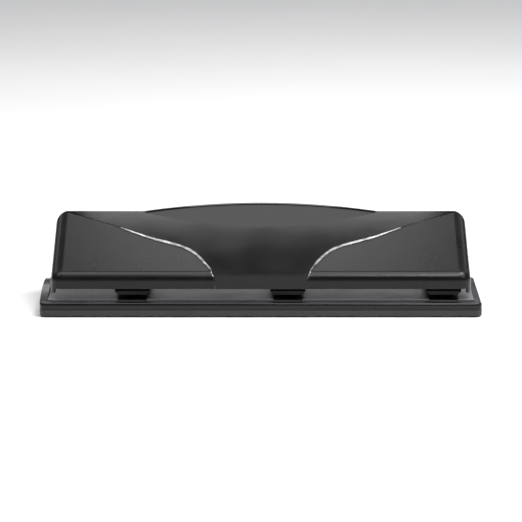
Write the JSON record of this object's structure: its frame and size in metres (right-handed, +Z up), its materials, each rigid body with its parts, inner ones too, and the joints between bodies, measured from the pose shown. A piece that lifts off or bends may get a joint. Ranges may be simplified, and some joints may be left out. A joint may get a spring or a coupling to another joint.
{
  "type": "hole punch",
  "caption": "Slim desk punch for half-letter binder sheets: sloped two-tone handle with palm rise, row of sprung punch heads, hinged chip tray.",
  "frame": {"origin": "centre of the base's footprint, on the surface that the feet stand on", "axes": "+X along the row of punch heads, +Y from the sheet's entry edge to the palm end, +Z up"},
  "size_m": [0.1982, 0.064, 0.0423],
  "materials": {
    "handle_gloss": "high gloss moulded",
    "handle_satin": "fine satin texture",
    "chrome_trim": "bright plated",
    "black_gloss": "gloss moulded",
    "tray_grey": "fine matte moulded",
    "table_grey": "satin grey paint on steel",
    "head_black": "black paint on a casting",
    "bright_steel": "ground",
    "spring_steel": "drawn wire",
    "zinc_steel": "zinc plated",
    "rubber": "matte"
  },
  "bodies": {
    "base": {"base_frame": "black_gloss", "tray_hinge_pin": "bright_steel", "table_plate": "table_grey", "table_screws": "bright_steel", "head_rivets": "bright_steel", "pivot_rod": "bright_steel", "punch_head_left": "head_black", "die_left": "bright_steel", "return_spring_left": "spring_steel", "punch_head_middle": "head_black", "die_middle": "bright_steel", "return_spring_middle": "spring_steel", "punch_head_right": "head_black", "die_right": "bright_steel", "return_spring_right": "spring_steel", "rod_clips": "spring_steel"},
    "chip_tray": {"chip_tray": "tray_grey", "rubber_feet": "rubber"},
    "handle": {"centre_panel": "handle_gloss", "wing_left": "handle_satin", "wing_right": "handle_satin", "trim_left": "chrome_trim", "trim_right": "chrome_trim", "lever_plate": "zinc_steel"},
    "pin_left": {"punch_pin_left": "bright_steel", "pin_clip_left": "spring_steel"},
    "pin_middle": {"punch_pin_middle": "bright_steel", "pin_clip_middle": "spring_steel"},
    "pin_right": {"punch_pin_right": "bright_steel", "pin_clip_right": "spring_steel"}
  },
  "joints": [
    {"name": "handle_press", "type": "hinge", "parent": "base", "child": "handle", "pos_m": [0, -0.022, 0.0148], "axis": [-1, 0, 0], "range_deg": [0, 18], "stiffness_Nm_per_rad": 1.2, "springref_deg": -17.19},
    {"name": "chip_tray_open", "type": "hinge", "parent": "base", "child": "chip_tray", "pos_m": [0, 0.0304, 0.0019], "axis": [1, 0, 0], "range_deg": [0, 90]},
    {"name": "pin_left_travel", "type": "slide", "parent": "base", "child": "pin_left", "axis": [0, 0, -1], "range_m": [0, 0.00476], "deforming": ["return_spring_left"]},
    {"name": "pin_middle_travel", "type": "slide", "parent": "base", "child": "pin_middle", "axis": [0, 0, -1], "range_m": [0, 0.00476], "deforming": ["return_spring_middle"]},
    {"name": "pin_right_travel", "type": "slide", "parent": "base", "child": "pin_right", "axis": [0, 0, -1], "range_m": [0, 0.00476], "deforming": ["return_spring_right"]}
  ],
  "couplings": [
    {"joint": "pin_left_travel", "follows": "handle_press", "m_per_rad": 0.01511},
    {"joint": "pin_middle_travel", "follows": "handle_press", "m_per_rad": 0.01511},
    {"joint": "pin_right_travel", "follows": "handle_press", "m_per_rad": 0.01511}
  ]
}
